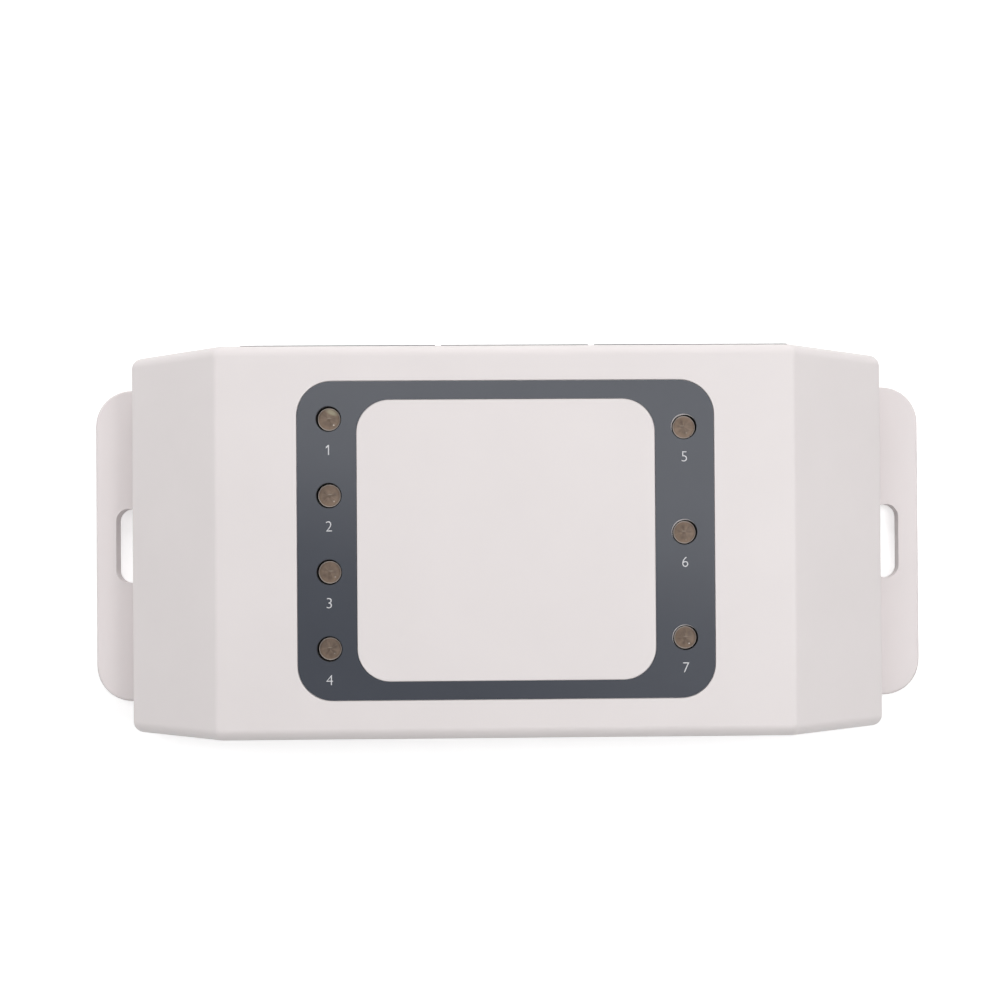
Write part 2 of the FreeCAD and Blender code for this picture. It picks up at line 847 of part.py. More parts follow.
def relay_yoke():
    """Core, foot and side plate of the magnet, with the common lead."""
    x, y = coil_place()
    base_z = below(relay_base_height)
    side_x = (relay_x + yoke_offset, relay_x + yoke_offset + yoke_thickness)
    foot_x = (x - core_radius - yoke_overlap, side_x[1])
    foot = box(foot_x, around(y, yoke_width), (below(relay_base_height + yoke_thickness), base_z))
    side = box(side_x, around(y, yoke_width), (below(core_end + armature_gap - armature_pivot_gap), base_z))
    core = post((x, y), core_radius, (below(core_end), base_z))
    return join([foot, side, core, lead(relay_leads()[0], relay_base_height + lead_overlap)])


def relay_coil():
    """Bobbin and winding in one, with two leads."""
    x, y = coil_place()
    near = relay_base_height + yoke_thickness + relay_fit
    far = core_end - coil_below_core_end
    near_flange = (below(near + bobbin_flange), below(near))
    shapes = [
        post((x, y), coil_radius, (below(far), below(near))),
        post((x, y), bobbin_radius, near_flange),
        post((x, y), bobbin_radius, (below(far), below(far - bobbin_flange))),
    ]
    for place in relay_leads()[1:3]:
        outward = math.copysign(pin_size / 2, place[1] - y)
        shapes.append(box(around(x, 2 * pin_size), spread_of(place[1] + outward, y), near_flange))
        shapes.append(lead(place, near + bobbin_flange))
    bore = post((x, y), core_radius + relay_fit, (below(far + past), below(near - past)))
    return join(shapes).cut(bore)


def armature_levels():
    """Depths of the armature's two faces, and of its contact's two faces."""
    near = core_end + armature_gap
    far = near + armature_thickness
    return near, far, far - contact_above_plate, far + leaf_depth + contact_height / 2


def relay_armature():
    """Hinged plate over the core, with a leaf that carries the moving contact."""
    near, far, contact_near, contact_far = armature_levels()
    x, y = coil_place()
    end_x = relay_x + yoke_offset + yoke_thickness
    contact_x = relay_x + contact_offset
    plate_x = (x - core_radius - armature_past_core, end_x)
    body = box(plate_x, around(y, armature_width), (below(far), below(near)))
    leaf_x = (contact_x - contact_radius, end_x)
    leaf = box(leaf_x, around(y, leaf_width), (below(far + leaf_depth), below(far)))
    button = post((contact_x, y), contact_radius, (below(contact_far), below(contact_near)))
    return join([body, leaf, button])


def relay_contacts():
    """Two fixed contacts, one on each side of the moving one."""
    _, _, contact_near, contact_far = armature_levels()
    y = relay_y()
    contact_x = relay_x + contact_offset
    arm = yoke_offset + yoke_thickness / 2 - contact_offset
    travel = arm * math.sin(math.radians(armature_angle))
    faces = [contact_near - travel - contact_play, contact_far + contact_play]
    pieces = []
    for place, face, side in zip(relay_leads()[3:], faces, (-1, 1)):
        inner = face + side * contact_height
        near, far = spread_of(inner, inner + side * contact_strip)
        upright_z = (below(far), board_bottom)
        upright = box(around(place[0], contact_strip), around(place[1], contact_strip_width), upright_z)
        outer_y = place[1] + side * contact_strip_width / 2
        reach_x = (place[0] - contact_strip / 2, contact_x + contact_radius)
        reach = box(reach_x, spread_of(outer_y, y - side * contact_radius), (below(far), below(near)))
        button = post((contact_x, y), contact_radius, (below(max(face, inner)), below(min(face, inner))))
        pieces.append(join([upright, reach, button, lead(place, contact_strip_width)]))
    return pieces


def relay_base(others):
    """Base plate, cut out for the leads and strips that stand in it."""
    inner = 2 * (relay_wall + relay_fit)
    length, width = relay_length - inner, relay_width - inner
    span = (below(relay_base_height), board_bottom)
    return cut(box(around(relay_x, length), around(relay_y(), width), span), others)


def relay_cover():
    """Open box over the relay's works."""
    x, y = relay_x, relay_y()
    inner_length, inner_width = relay_length - 2 * relay_wall, relay_width - 2 * relay_wall
    span = (below(relay_height), below(relay_cover_start))
    outer = box(around(x, relay_length), around(y, relay_width), span)
    inner_z = (below(relay_height - relay_wall), board_bottom)
    return outer.cut(box(around(x, inner_length), around(y, inner_width), inner_z))


def chip(place, length, width, height, leads_per_side, lead_pitch, sides):
    """Chip under the board with flat leads on two or four sides."""
    x, y = place
    tips = (below(chip_lead_thickness), board_bottom)
    shapes = [box(around(x, length), around(y, width), (below(height), below(chip_off_board)))]
    for side in (-1, 1):
        inner_x, inner_y = length / 2 - chip_lead_overlap, width / 2 - chip_lead_overlap
        outer_x, outer_y = length / 2 + chip_lead_reach, width / 2 + chip_lead_reach
        span_x = spread_of(x + side * inner_x, x + side * outer_x)
        span_y = spread_of(y + side * inner_y, y + side * outer_y)
        for i in range(leads_per_side):
            step = (i - (leads_per_side - 1) / 2) * lead_pitch
            shapes.append(box(span_x, around(y + step, chip_lead_width), tips))
            if sides == 4:
                shapes.append(box(around(x + step, chip_lead_width), span_y, tips))
    return join(shapes)


def microcontroller():
    place = (controller_x, board_edge_y + controller_from_edge)
    size = (controller_size, controller_size, controller_height)
    return chip(place, *size, controller_leads_per_side, controller_lead_pitch, 4)


def bus_transceiver():
    place = (transceiver_x, board_edge_y + transceiver_from_edge)
    size = (transceiver_length, transceiver_width, transceiver_height)
    return chip(place, *size, transceiver_leads_per_side, transceiver_lead_pitch, 2)


def voltage_regulator():
    """Tabbed regulator: three leads on one side and a wide tab on the other."""
    x, y = regulator_x, board_edge_y + regulator_from_edge
    body_y = around(y, regulator_width)
    body = box(around(x, regulator_length), body_y, (below(regulator_height), below(chip_off_board)))
    tips = (below(chip_lead_thickness), board_bottom)
    tab_y = (body_y[1] - chip_lead_overlap, body_y[1] + regulator_lead_reach)
    lead_y = (body_y[0] - regulator_lead_reach, body_y[0] + chip_lead_overlap)
    shapes = [body, box(around(x, regulator_tab), tab_y, tips)]
    for step in (-1, 0, 1):
        shapes.append(box(around(x + step * regulator_lead_pitch, regulator_lead_width), lead_y, tips))
    return join(shapes)


def capacitor_place():
    return capacitor_x, board_edge_y + capacitor_from_edge


def capacitor_leads():
    x, y = capacitor_place()
    return [(x + side * capacitor_lead_pitch / 2, y) for side in (-1, 1)]


def filter_capacitor():
    """Round can with a groove near its foot and two leads."""
    x, y = capacitor_place()
    can = post((x, y), capacitor_radius, (below(capacitor_height), board_bottom))
    groove_reach = capacitor_radius + capacitor_groove_radius - capacitor_groove_depth
    groove_place = vec(x, y, below(capacitor_groove_from_foot))
    groove = Part.makeTorus(groove_reach, capacitor_groove_radius, groove_place)
    return join([can.cut(groove)] + [lead(p, lead_overlap) for p in capacitor_leads()])


def power_inductor():
    """Square shielded coil with clipped corners."""
    x, y = inductor_x, board_edge_y + inductor_from_edge
    span = (below(inductor_height), board_bottom)
    body = box(around(x, inductor_size), around(y, inductor_size), span)
    return body.makeChamfer(inductor_corner, edges_along(body, "z"))


def build():
    save(front_cover(), "front_cover")
    save(rear_shell(), "rear_shell")
    save(indicator_overlay(), "indicator_overlay")
    for number, place in enumerate(lens_places, 1):
        save(light_pipe(place), f"light_pipe_{number}")
    save(main_board(), "main_board")
    save(indicator_leds(), "indicator_leds")
    save(case_screws(), "case_screws")
    save(board_screws(), "board_screws")

    pins = header_pins()
    save(pins, "header_pins")
    for number, block in enumerate(blocks, 1):
        save(terminal_header(block, pins), f"terminal_header_{number}")
        save(terminal_plug(block), f"terminal_plug_{number}")
        save([plug_contact(x) for x in block[2]], f"plug_contacts_{number}")
    for number, x in enumerate(pole_places, 1):
        save(clamp_screw(x), f"clamp_screw_{number}")
        save(clamp_cage(x), f"clamp_cage_{number}")

    save(tamper_switch_body(), "tamper_switch_body")
    save(tamper_plunger(), "tamper_plunger")
    save(tamper_spring(), "tamper_spring")

    yoke = relay_yoke()
    coil = relay_coil()
    fixed = relay_contacts()
    save(yoke, "relay_yoke")
    save(coil, "relay_coil")
    save(fixed, "relay_contacts")
    save(relay_armature(), "relay_armature")
    save(relay_base([yoke, coil] + fixed), "relay_base")
    save(relay_cover(), "relay_cover")

    save(microcontroller(), "microcontroller")
    save(bus_transceiver(), "bus_transceiver")
    save(voltage_regulator(), "voltage_regulator")
    save(filter_capacitor(), "filter_capacitor")
    save(power_inductor(), "power_inductor")


build()
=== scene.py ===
"""Looks of the door control module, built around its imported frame. All sizes are in metres."""

import math

import bpy
from bpy.props import FloatProperty, FloatVectorProperty, PointerProperty
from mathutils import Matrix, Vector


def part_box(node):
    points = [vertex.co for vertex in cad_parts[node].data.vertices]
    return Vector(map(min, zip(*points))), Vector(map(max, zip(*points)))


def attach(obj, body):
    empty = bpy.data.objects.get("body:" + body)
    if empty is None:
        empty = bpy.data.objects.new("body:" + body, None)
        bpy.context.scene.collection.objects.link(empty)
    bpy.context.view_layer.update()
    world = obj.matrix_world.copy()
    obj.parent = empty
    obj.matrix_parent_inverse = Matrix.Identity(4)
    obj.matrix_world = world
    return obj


bl_info = {
    "name": "Door control module",
    "version": (1, 0, 0),
    "blender": (4, 5, 0),
    "location": "View3D > Sidebar > Door module",
    "description": "Finishes, printed numerals, lens parts, light and camera of a door control module",
    "category": "Object",
}

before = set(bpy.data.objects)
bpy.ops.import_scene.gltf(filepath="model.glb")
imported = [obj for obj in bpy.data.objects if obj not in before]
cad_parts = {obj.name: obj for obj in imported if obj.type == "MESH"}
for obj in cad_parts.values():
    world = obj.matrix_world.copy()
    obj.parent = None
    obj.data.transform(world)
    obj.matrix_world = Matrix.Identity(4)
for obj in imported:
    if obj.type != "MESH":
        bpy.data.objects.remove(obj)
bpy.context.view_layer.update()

mm = 0.001
lens_count = 7
left_lenses = 4
plug_count = 3
pole_count = 11

# Range in which most values of a noise lie
noise_low = 0.3
noise_high = 0.7

# Moulded plastic: pitch of its slight changes of tone, how far they go down and up on the case, and how far
# its roughness does
plastic_tone_pitch = 14 * mm
case_spread = 0.012
plastic_smoother = 0.04
plastic_rougher = 0.06

# Plated metal: the same, and how far its tone goes down and up
metal_tone_pitch = 1.6 * mm
metal_spread = 0.06
metal_smoother = 0.07
metal_rougher = 0.1

# Width of the soft edge of the painted shade on the walls of a lens's hole
hole_shade_edge = 0.004 * mm

# Printed film: the same as for metal, and the pitch and depth of its fine texture
film_tone_pitch = 9 * mm
film_spread = 0.03
film_smoother = 0.02
film_rougher = 0.03
film_texture_pitch = 0.12 * mm
film_texture_depth = 0.0012 * mm

# Print: its roughness, the pitch and spread of its tones, and how deep it reaches into the film
ink_roughness = 0.5
ink_tone_pitch = 0.2 * mm
ink_spread = 0.1
ink_sink = 0.002 * mm

# Typeface: a numeral's height and the thinning of its strokes, as shares of the text's size, and the points
# that a curve is made of
numeral_share = 0.691
stroke_thinning = 0.0145
curve_points = 6

# Flag of the numeral 1, as shares of its height: its own height, and how far it goes aside and down
flag_height = 0.17
flag_aside = 0.2
flag_down = 0.16

# Lens: its specular level, the spread of its tones, how fast its rays change outwards, and their pitch
lens_specular = 0.25
lens_spread = 0.34
ray_change = 0.4 / mm
ray_pitch = 0.8

# Rings of a lens: shares of its radius where each starts and where it is full, and its strength
# The inner ring is painted light, the rim a painted highlight and the edge painted shade
inner_light_ring = (0.5, 0.93, 0.7)
rim_highlight_ring = (0.9, 0.94, 0.75)
edge_shade_ring = (0.985, 0.995, 1.0)

# Tone of the inner ring of painted light, the edge of painted shade and the chip, as shares of the lens's
# own
inner_light_tone = 1.95
edge_shade_tone = 0.1
chip_tone = 0.45

# Ovals in a lens: half length, half width, turn in degrees and strength, the highlight speck's apart, which
# differs from lens to lens
# The cast is a painted reflection of the lights
cast_reflection_oval = (1.05 * mm, 0.42 * mm, -25, 0.75)
chip_oval = (0.3 * mm, 0.24 * mm, 0, 0.5)
wire_oval = (0.38 * mm, 0.07 * mm, 0, 0.6)
# The speck is a painted highlight
speck_highlight_oval = (0.13 * mm, 0.12 * mm, 0)

# Shares of an oval's size where it starts to fade and where it ends
oval_full = 0.5
oval_end = 1.2

# Place of the painted reflection, a pale cast in the first lens, in mm from its middle
cast_reflection_place = (0.4, 1.1)

# What is seen in each lens: its tone, where the wire, the dark chip and the painted highlight speck are, in
# mm, and the highlight's strength
lens_marks = (
    (1.0, (0.05, 0.16), (0.0, -0.16), (0.73, -0.91), 0.8),
    (1.0, (0.12, 0.19), (0.0, -0.12), (0.72, -0.88), 0.4),
    (0.96, (0.2, 0.2), (-0.06, -0.18), (0.84, -0.74), 0.35),
    (0.86, (-0.05, 0.2), (-0.25, -0.08), (0.67, -0.74), 0.2),
    (1.12, (-0.27, 0.19), (-0.24, 0.0), (0.42, -0.9), 0.2),
    (1.03, (-0.1, 0.17), (-0.12, -0.14), (0.23, -1.2), 0.1),
    (0.94, (0.07, 0.18), (-0.16, -0.17), (0.6, -0.94), 0.7),
)

# Solder mask: its roughness and coat, and the tracks' pitch, height and soft edge, a share of the pitch
mask_roughness = 0.32
mask_coat = 0.5
mask_coat_roughness = 0.15
track_pitch = 4.5 * mm
track_height = 0.03 * mm
track_edge = (0.03, 0.05)

# Winding: its roughness, pitch and depth of its turns, the period of the wave at scale 1, the painted shade
# in the grooves as a share of the wire's tone, and the height of the wave from which the wire has its own
winding_roughness = 0.28
turn_pitch = 0.2 * mm
turn_depth = 0.05 * mm
wave_period = 0.31
groove_shade_tone = 0.35
wire_from = 0.6

# Floor: its radius and sides, roughness, pitch and spread of its tones, and how far from the middle its
# glow starts to change and has changed
floor_radius = 3.0
floor_sides = 96
floor_roughness = 0.8
floor_tone_pitch = 40 * mm
floor_spread = 0.004
glow_near = 0.15
glow_far = 0.7

# Where the grades of the surroundings lie, from 0 straight down to 1 straight up
grade_below = 0.45
grade_level = 0.5
grade_above = 0.75

# Soft lights of the ceiling: the ranges of each along and across the ceiling's own axes, and its watts
ceiling_height = 0.4
ceiling_middle = (-0.011, 0.0065)
ceiling_turn = math.radians(-14)
ceiling_lights = {
    "near_light": (-0.24, 0.12, 0.0, 0.12, 0.285),
    "right_light": (0.16, 0.36, 0.0, 0.12, 0.70),
    "front_left_light": (-0.24, 0.04, -0.2, 0.0, 0.048),
    "front_right_light": (0.04, 0.32, -0.2, 0.0, 0.12),
    "left_light": (-0.44, -0.24, -0.2, 0.2, 0.52),
}

# Soft lights that lean towards the object: direction in degrees from +X, distance, height, width, length
# and watts
leaning_lights = {
    "terminal_side_light": (90, 0.6, 0.35, 0.4, 0.3, 2.15),
    "left_side_light": (180, 0.6, 0.4, 0.3, 0.3, 0.33),
    "right_side_light": (0, 0.6, 0.4, 0.3, 0.3, 0.14),
}

# Camera: its turns in degrees, the shift of its picture, its sensor in millimetres, and how near and far
# it sees
camera_turns = (0.433, -1.214, -0.411)
camera_shift = (-0.0762, 0.0532)
sensor_width = 36.0
camera_near = 0.01
camera_far = 20.0


def colour_property(name, description, default):
    return FloatVectorProperty(name=name, description=description, subtype="COLOR", size=3,
                               min=0.0, max=1.0, default=default)


def length_property(name, description, default):
    return FloatProperty(name=name, description=description, subtype="DISTANCE", unit="LENGTH",
                         min=0.0, default=default)


def share_property(name, description, default):
    return FloatProperty(name=name, description=description, subtype="FACTOR", min=0.0, max=1.0,
                         default=default)


class CaseFinish(bpy.types.PropertyGroup):
    cover_colour: colour_property("Cover", "Colour of the front cover", (0.755, 0.708, 0.705))
    shell_colour: colour_property("Rear shell", "Colour of the rear shell", (0.763, 0.708, 0.708))
    # Hole shade: near-black painted shade on the walls of the lens holes, standing in for the shadow in the
    # deep gap round each lens; its reach, aside and drop place it in each hole
    hole_shade_colour: colour_property("Hole liner", "Colour of the walls of the lens holes",
                                  (0.004, 0.004, 0.004))
    hole_shade_left: length_property("Shade, left", "Reach of the liner round a left lens's axis", 2.08 * mm)
    hole_shade_right: length_property("Shade, right", "Reach of the liner in a right lens's hole", 2.02 * mm)
    hole_shade_aside: length_property("Shade aside", "How far a right liner lies outwards of its lens", 0.03 * mm)
    hole_shade_drop: length_property("Shade drop", "How far a right liner lies below its lens", 0.07 * mm)
    grain_size: length_property("Grain size", "Pitch of the moulded grain", 0.28 * mm)
    grain_depth: length_property("Grain depth", "Depth of the moulded grain", 0.006 * mm)
    roughness: share_property("Roughness", "Roughness of the moulded plastic", 0.46)


class PanelFinish(bpy.types.PropertyGroup):
    film_colour: colour_property("Film", "Colour of the printed film", (0.0525, 0.0585, 0.0745))
    print_colour: colour_property("Print", "Colour of the printed numerals", (0.62, 0.62, 0.64))
    numeral_height: length_property("Numeral height", "Height of a printed numeral", 1.65 * mm)
    numeral_drop_left: length_property("Drop, left", "From a left lens down to its numeral", 4.81 * mm)
    numeral_drop_right: length_property("Drop, right", "From a right lens down to its numeral", 4.63 * mm)
    ink_height: length_property("Ink height", "How far the ink stands on the film", 0.012 * mm)
    roughness: share_property("Roughness", "Roughness of the film", 0.2)


class LensFinish(bpy.types.PropertyGroup):
    body_colour: colour_property("Lens", "Colour seen through the lens", (0.19, 0.138, 0.105))
    # The rim is a painted highlight: a thin bright line at the lens's rim
    rim_highlight_colour: colour_property("Rim", "Colour of the thin bright line at its rim", (0.60, 0.54, 0.50))
    wire_colour: colour_property("Wire", "Colour of the wire seen in the middle", (0.36, 0.32, 0.28))
    # The speck is a painted highlight off the lens's middle
    speck_highlight_colour: colour_property("Speck", "Colour of the bright speck off the middle", (0.95, 0.90, 0.82))
    # The cast is a painted reflection: a pale patch at one side of the first lens
    cast_reflection_colour: colour_property("Cast", "Pale cast at one side of the first lens", (0.50, 0.46, 0.33))
    radius: length_property("Radius", "Radius of a lens", 1.78 * mm)
    roughness: share_property("Roughness", "Roughness of the lens", 0.5)


class TerminalFinish(bpy.types.PropertyGroup):
    plastic_colour: colour_property("Terminal plastic", "Colour of plugs and headers", (0.018, 0.018, 0.019))
    steel_colour: colour_property("Steel", "Colour of screws and cages", (0.60, 0.60, 0.585))
    tin_colour: colour_property("Tin", "Colour of the tinned contacts", (0.70, 0.69, 0.66))


class BoardFinish(bpy.types.PropertyGroup):
    mask_colour: colour_property("Solder mask", "Colour of the solder mask", (0.012, 0.10, 0.035))
    track_colour: colour_property("Tracks", "Colour of copper under the mask", (0.03, 0.19, 0.06))
    copper_colour: colour_property("Winding", "Colour of the coil's winding", (0.58, 0.25, 0.11))
    sleeve_colour: colour_property("Capacitor sleeve", "Colour of the capacitor's sleeve",
                                   (0.02, 0.02, 0.05))


class StageSettings(bpy.types.PropertyGroup):
    floor_colour: colour_property("Floor", "Colour of the floor", (0.93, 0.93, 0.93))
    floor_glow: FloatProperty(name="Floor glow", description="Light that the floor gives near the object",
                              min=0.0, default=0.43)
    far_glow: FloatProperty(name="Far glow", description="Light that the floor gives far from the object",
                            min=0.0, default=0.85)
    below: FloatProperty(name="Below", description="Light that reaches the object from below", min=0.0,
                         default=0.3)
    horizon: FloatProperty(name="Horizon", description="Brightness of the surroundings at eye level",
                           min=0.0, default=1.3)
    zenith: FloatProperty(name="Zenith", description="Brightness of the surroundings overhead", min=0.0,
                          default=0.1)
    lights: FloatProperty(name="Lights", description="Strength of the soft lights", min=0.0, default=1.0)
    camera_x: length_property("Camera X", "Place of the camera", 5.623 * mm)
    camera_back: length_property("Camera back", "How far the camera is towards the plain side", 3.788 * mm)
    camera_height: length_property("Camera height", "Height of the camera over the floor", 273.988 * mm)
    focal_length: FloatProperty(name="Focal length", description="Focal length in millimetres",
                                min=10.0, default=57.214)


settings_classes = (CaseFinish, PanelFinish, LensFinish, TerminalFinish, BoardFinish, StageSettings)


def settings():
    return bpy.context.scene.door_module


class DoorModule(bpy.types.PropertyGroup):
    case: PointerProperty(type=CaseFinish)
    panel: PointerProperty(type=PanelFinish)
    lens: PointerProperty(type=LensFinish)
    terminals: PointerProperty(type=TerminalFinish)
    board: PointerProperty(type=BoardFinish)
    stage: PointerProperty(type=StageSettings)


# Materials

def add_node(tree, kind, **values):
    node = tree.nodes.new(kind)
    for name, value in values.items():
        setattr(node, name, value)
    return node


def make_finish(name, colour, roughness, metallic=0.0, coat=0.0, coat_roughness=0.03):
    """A new material with a plain Principled shader, which the helpers below give its detail."""
    finish = bpy.data.materials.new(name)
    finish.use_nodes = True
    shader = finish.node_tree.nodes["Principled BSDF"]
    shader.inputs["Base Color"].default_value = (*colour, 1.0)
    shader.inputs["Roughness"].default_value = roughness
    shader.inputs["Metallic"].default_value = metallic
    shader.inputs["Coat Weight"].default_value = coat
    shader.inputs["Coat Roughness"].default_value = coat_roughness
    return finish, finish.node_tree, shader


def place_of(tree, centre=(0.0, 0.0, 0.0), stretch=(1.0, 1.0, 1.0)):
    """Object coordinates, moved so that centre is their origin and then stretched."""
    coordinates = add_node(tree, "ShaderNodeTexCoord")
    mapping = add_node(tree, "ShaderNodeMapping")
    mapping.inputs["Location"].default_value = [-c * s for c, s in zip(centre, stretch)]
    mapping.inputs["Scale"].default_value = stretch
    tree.links.new(coordinates.outputs["Object"], mapping.inputs["Vector"])
    return mapping.outputs["Vector"]


def noise(tree, place, pitch, detail=2.0, roughness=0.5):
    texture = add_node(tree, "ShaderNodeTexNoise")
    texture.inputs["Scale"].default_value = 1.0 / pitch
    texture.inputs["Detail"].default_value = detail
    texture.inputs["Roughness"].default_value = roughness
    tree.links.new(place, texture.inputs["Vector"])
    return texture.outputs["Fac"]


def ramp(tree, value, stops):
    """A colour ramp with stops of (position, colour)."""
    node = add_node(tree, "ShaderNodeValToRGB")
    elements = node.color_ramp.elements
    while len(elements) < len(stops):
        elements.new(0.5)
    for element, (position, colour) in zip(elements, stops):
        element.position = position
        element.color = (*colour, 1.0)
    tree.links.new(value, node.inputs["Fac"])
    return node.outputs["Color"]


def span(tree, value, low, high, low_result, high_result):
    node = add_node(tree, "ShaderNodeMapRange")
    node.inputs["From Min"].default_value = low
    node.inputs["From Max"].default_value = high
    node.inputs["To Min"].default_value = low_result
    node.inputs["To Max"].default_value = high_result
    tree.links.new(value, node.inputs["Value"])
    return node.outputs["Result"]


def bump(tree, shader, height, depth):
    node = add_node(tree, "ShaderNodeBump")
    node.inputs["Strength"].default_value = 1.0
    node.inputs["Distance"].default_value = depth
    tree.links.new(height, node.inputs["Height"])
    tree.links.new(node.outputs["Normal"], shader.inputs["Normal"])


def shade(colour, factor):
    return tuple(min(1.0, c * factor) for c in colour)


def mottle(tree, shader, value, colour, spread):
    """Colours the shader from a little darker to a little lighter than colour."""
    stops = [(noise_low, shade(colour, 1 - spread)), (noise_high, shade(colour, 1 + spread))]
    result = ramp(tree, value, stops)
    tree.links.new(result, shader.inputs["Base Color"])
    return result


def roughen(tree, shader, value, roughness, smoother, rougher):
    """Varies the shader's roughness, down by smoother and up by rougher."""
    result = span(tree, value, noise_low, noise_high, roughness - smoother, roughness + rougher)
    tree.links.new(result, shader.inputs["Roughness"])


def mix(tree, shader, share, first, second):
    """Colours the shader with first, a socket, and where share is 1 with second, a colour."""
    node = add_node(tree, "ShaderNodeMix", data_type="RGBA")
    tree.links.new(share, node.inputs["Factor"])
    tree.links.new(first, node.inputs[6])
    node.inputs[7].default_value = (*second, 1.0)
    tree.links.new(node.outputs[2], shader.inputs["Base Color"])
    return node.outputs[2]


def distance(tree, centre):
    """Distance from the upright axis through centre."""
    length = add_node(tree, "ShaderNodeVectorMath", operation="LENGTH")
    tree.links.new(place_of(tree, centre, (1.0, 1.0, 0.0)), length.inputs[0])
    return length.outputs["Value"]


def ring(tree, away, radius, start, full, strength):
    """From 0 at the share start of radius to strength at the share full of it and beyond."""
    return span(tree, away, start * radius, full * radius, 0.0, strength)


def spot(tree, centre, half_length, half_width, turn, strength):
    """A soft-edged oval around the upright axis through centre: strength inside it, 0 outside."""
    coordinates = add_node(tree, "ShaderNodeTexCoord")
    mapping = add_node(tree, "ShaderNodeMapping", vector_type="TEXTURE")
    mapping.inputs["Location"].default_value = centre
    mapping.inputs["Rotation"].default_value = (0.0, 0.0, math.radians(turn))
    mapping.inputs["Scale"].default_value = (half_length, half_width, 1.0)
    tree.links.new(coordinates.outputs["Object"], mapping.inputs["Vector"])
    length = add_node(tree, "ShaderNodeVectorMath", operation="LENGTH")
    tree.links.new(mapping.outputs["Vector"], length.inputs[0])
    return span(tree, length.outputs["Value"], oval_full, oval_end, strength, 0.0)


def dress(finish, *names):
    """Puts a finish on CAD nodes."""
    for name in names:
        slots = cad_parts[name].material_slots
        for slot in slots:
            slot.material = finish


def numbered(stem, count):
    return [f"{stem}_{i + 1}" for i in range(count)]


def deselect():
    for selected in list(bpy.context.selected_objects):
        selected.select_set(False)


def lens_centres():
    """Middle of each lens, at its top."""
    centres = []
    for name in numbered("light_pipe", lens_count):
        low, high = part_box(name)
        centres.append(((low.x + high.x) / 2, (low.y + high.y) / 2, high.z))
    return centres


def beside(centre, offset):
    """The point at an offset in mm, along X and Y, from centre."""
    return centre[0] + offset[0] * mm, centre[1] + offset[1] * mm, centre[2]


def moulded_plastic(name, colour, roughness, grain_size, grain_depth, spread=case_spread, painted_shade=None):
    """Moulded plastic with a fine spark-eroded grain and slight changes of tone.

    A painted shade, given as its colour and the centre and radius of each of its rounds, darkens it within
    them: near-black standing in for the shadow deep in the gap round each lens.
    """
    finish, tree, shader = make_finish(name, colour, roughness)
    place = place_of(tree)
    tone = mottle(tree, shader, noise(tree, place, plastic_tone_pitch, detail=3.0), colour, spread)
    # Painted shade: darkens the walls of each lens hole, where the deep gap round the lens lies in shadow
    if painted_shade:
        hole_shade_colour, rounds = painted_shade
        for centre, radius in rounds:
            near = span(tree, distance(tree, centre), radius - hole_shade_edge, radius, 1.0, 0.0)
            tone = mix(tree, shader, near, tone, hole_shade_colour)
    grain = noise(tree, place, grain_size, detail=3.0, roughness=0.6)
    roughen(tree, shader, grain, roughness, plastic_smoother, plastic_rougher)
    bump(tree, shader, grain, grain_depth)
    return finish


def plated_metal(name, colour, roughness, pitch, depth):
    """Plated metal with fine marks of the given pitch and depth."""
    finish, tree, shader = make_finish(name, colour, roughness, metallic=1.0)
    place = place_of(tree)
    mottle(tree, shader, noise(tree, place, metal_tone_pitch, detail=3.0), colour, metal_spread)
    marks = noise(tree, place, pitch)
    roughen(tree, shader, marks, roughness, metal_smoother, metal_rougher)
    bump(tree, shader, marks, depth)
    return finish


# Operators, one for each piece or group of like pieces

class DressCase(bpy.types.Operator):
    """Gives the front cover and the rear shell their moulded white plastic, and paints shade on the walls of
    the cover's lens holes
    """
    bl_idname = "door_module.dress_case"
    bl_label = "Case"

    def execute(self, context):
        case = settings().case
        centres = lens_centres()
        # Rounds of painted shade in the lens holes, standing in for the shadow round each lens
        rounds = [(centre, case.hole_shade_left) for centre in centres[:left_lenses]]
        rounds += [((x + case.hole_shade_aside, y - case.hole_shade_drop, z), case.hole_shade_right)
                   for x, y, z in centres[left_lenses:]]
        cover = moulded_plastic("cover_plastic", case.cover_colour, case.roughness, case.grain_size,
                                case.grain_depth, painted_shade=(case.hole_shade_colour, rounds))
        shell = moulded_plastic("shell_plastic", case.shell_colour, case.roughness, case.grain_size,
                                case.grain_depth)
        dress(cover, "front_cover")
        dress(shell, "rear_shell")
        return {"FINISHED"}


class DressPanel(bpy.types.Operator):
    """Gives the indicator film its printed, semi-gloss grey"""
    bl_idname = "door_module.dress_panel"
    bl_label = "Indicator film"

    def execute(self, context):
        panel = settings().panel
        finish, tree, shader = make_finish("film_print", panel.film_colour, panel.roughness)
        place = place_of(tree)
        tone = noise(tree, place, film_tone_pitch, detail=3.0)
        mottle(tree, shader, tone, panel.film_colour, film_spread)
        texture = noise(tree, place, film_texture_pitch)
        roughen(tree, shader, texture, panel.roughness, film_smoother, film_rougher)
        bump(tree, shader, texture, film_texture_depth)
        dress(finish, "indicator_overlay")
        return {"FINISHED"}


